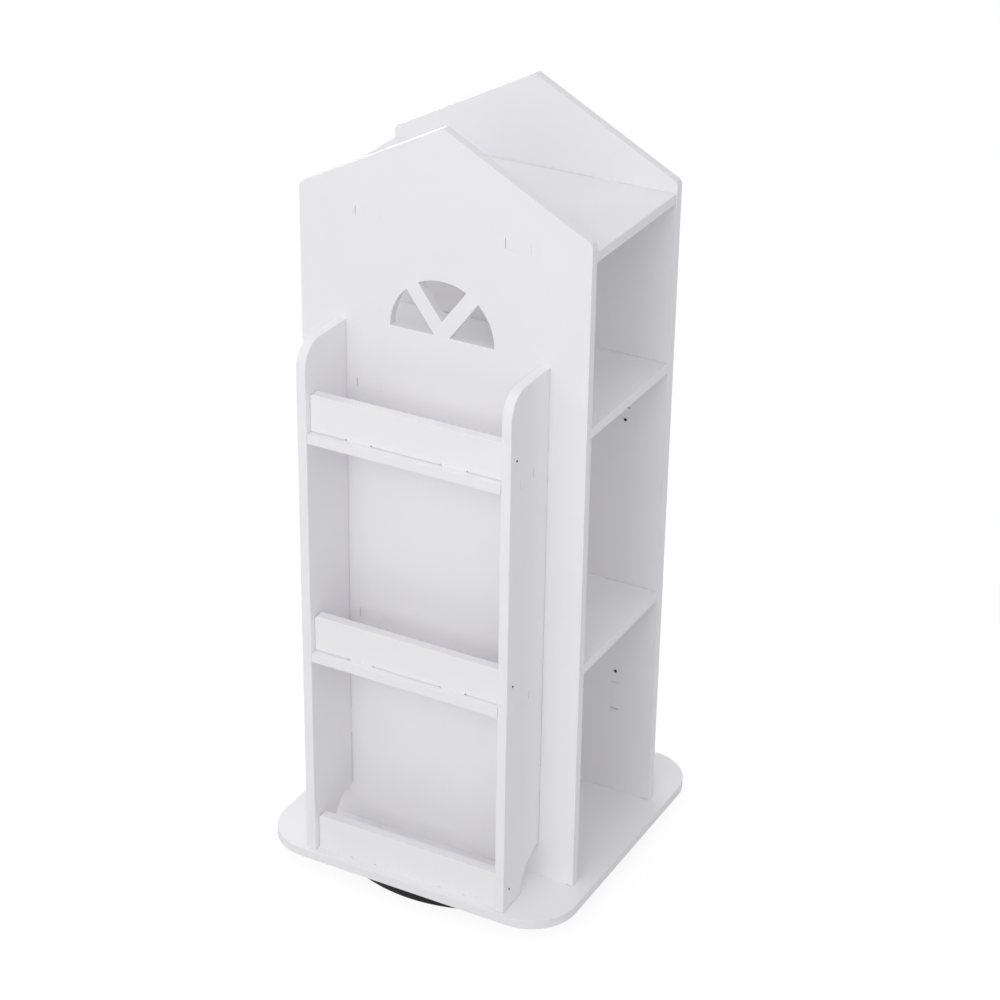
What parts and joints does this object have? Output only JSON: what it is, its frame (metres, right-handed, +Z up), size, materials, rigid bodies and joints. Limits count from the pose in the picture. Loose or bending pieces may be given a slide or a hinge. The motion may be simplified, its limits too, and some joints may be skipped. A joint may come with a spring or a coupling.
{
  "type": "revolving bookcase",
  "caption": "White house-shaped bookcase on a round turntable: open compartments between two gables and a tiered front-facing book rack on the outside of each gable.",
  "frame": {"origin": "on the floor, under the pivot, at the centre of the object's footprint", "axes": "+Z up along the pivot's axis; -Y is the front, towards the gable with the half-round window; +X is to the right seen from the front, towards one open side of the compartments"},
  "size_m": [0.4454, 0.4454, 1.0471],
  "materials": {
    "white_board": "smooth white satin lacquer",
    "black_plastic": "moulded matt black",
    "bright_steel": "zinc-plated",
    "dark_steel": "black oxide",
    "pad_rubber": "matt"
  },
  "bodies": {
    "turntable": {"turntable_base": "black_plastic", "floor_pad_1": "pad_rubber", "floor_pad_2": "pad_rubber", "floor_pad_3": "pad_rubber", "floor_pad_4": "pad_rubber", "floor_pad_5": "pad_rubber", "floor_pad_6": "pad_rubber", "pivot_bolt": "bright_steel", "pivot_lock_nut": "bright_steel"},
    "ball_cage": {"turntable_ball_cage": "bright_steel"},
    "bookcase": {"base_board": "white_board", "front_gable": "white_board", "rear_gable": "white_board", "lower_shelf": "white_board", "upper_shelf": "white_board", "roof_board": "white_board", "front_rack_left_side": "white_board", "front_rack_right_side": "white_board", "front_rack_middle_shelf": "white_board", "front_rack_top_shelf": "white_board", "front_rack_bottom_lip": "white_board", "front_rack_middle_lip": "white_board", "front_rack_top_lip": "white_board", "rear_rack_left_side": "white_board", "rear_rack_right_side": "white_board", "rear_rack_middle_shelf": "white_board", "rear_rack_top_shelf": "white_board", "rear_rack_bottom_lip": "white_board", "rear_rack_middle_lip": "white_board", "rear_rack_top_lip": "white_board", "turntable_top_plate": "bright_steel", "front_gable_base_screw_left": "dark_steel", "front_gable_base_screw_right": "dark_steel", "rear_gable_base_screw_left": "dark_steel", "rear_gable_base_screw_right": "dark_steel", "front_rack_left_side_screw_lower": "dark_steel", "front_rack_left_side_screw_upper": "dark_steel", "front_rack_right_side_screw_lower": "dark_steel", "front_rack_right_side_screw_upper": "dark_steel", "rear_rack_left_side_screw_lower": "dark_steel", "rear_rack_left_side_screw_upper": "dark_steel", "rear_rack_right_side_screw_lower": "dark_steel", "rear_rack_right_side_screw_upper": "dark_steel", "front_rack_bottom_lip_screw_left": "dark_steel", "front_rack_bottom_lip_screw_right": "dark_steel", "front_rack_middle_lip_screw_left": "dark_steel", "front_rack_middle_lip_screw_right": "dark_steel", "front_rack_top_lip_screw_left": "dark_steel", "front_rack_top_lip_screw_right": "dark_steel", "rear_rack_bottom_lip_screw_left": "dark_steel", "rear_rack_bottom_lip_screw_right": "dark_steel", "rear_rack_middle_lip_screw_left": "dark_steel", "rear_rack_middle_lip_screw_right": "dark_steel", "rear_rack_top_lip_screw_left": "dark_steel", "rear_rack_top_lip_screw_right": "dark_steel", "top_plate_screw_1": "dark_steel", "top_plate_screw_2": "dark_steel", "top_plate_screw_3": "dark_steel", "top_plate_screw_4": "dark_steel"}
  },
  "joints": [
    {"name": "bookcase_spin", "type": "hinge", "parent": "turntable", "child": "bookcase", "pos_m": [0, 0, 0.0205], "axis": [0, 0, 1], "continuous": true},
    {"name": "ball_cage_spin", "type": "hinge", "parent": "turntable", "child": "ball_cage", "pos_m": [0, 0, 0.0182], "axis": [0, 0, 1], "continuous": true}
  ],
  "couplings": [
    {"joint": "ball_cage_spin", "follows": "bookcase_spin", "ratio": 0.5}
  ]
}
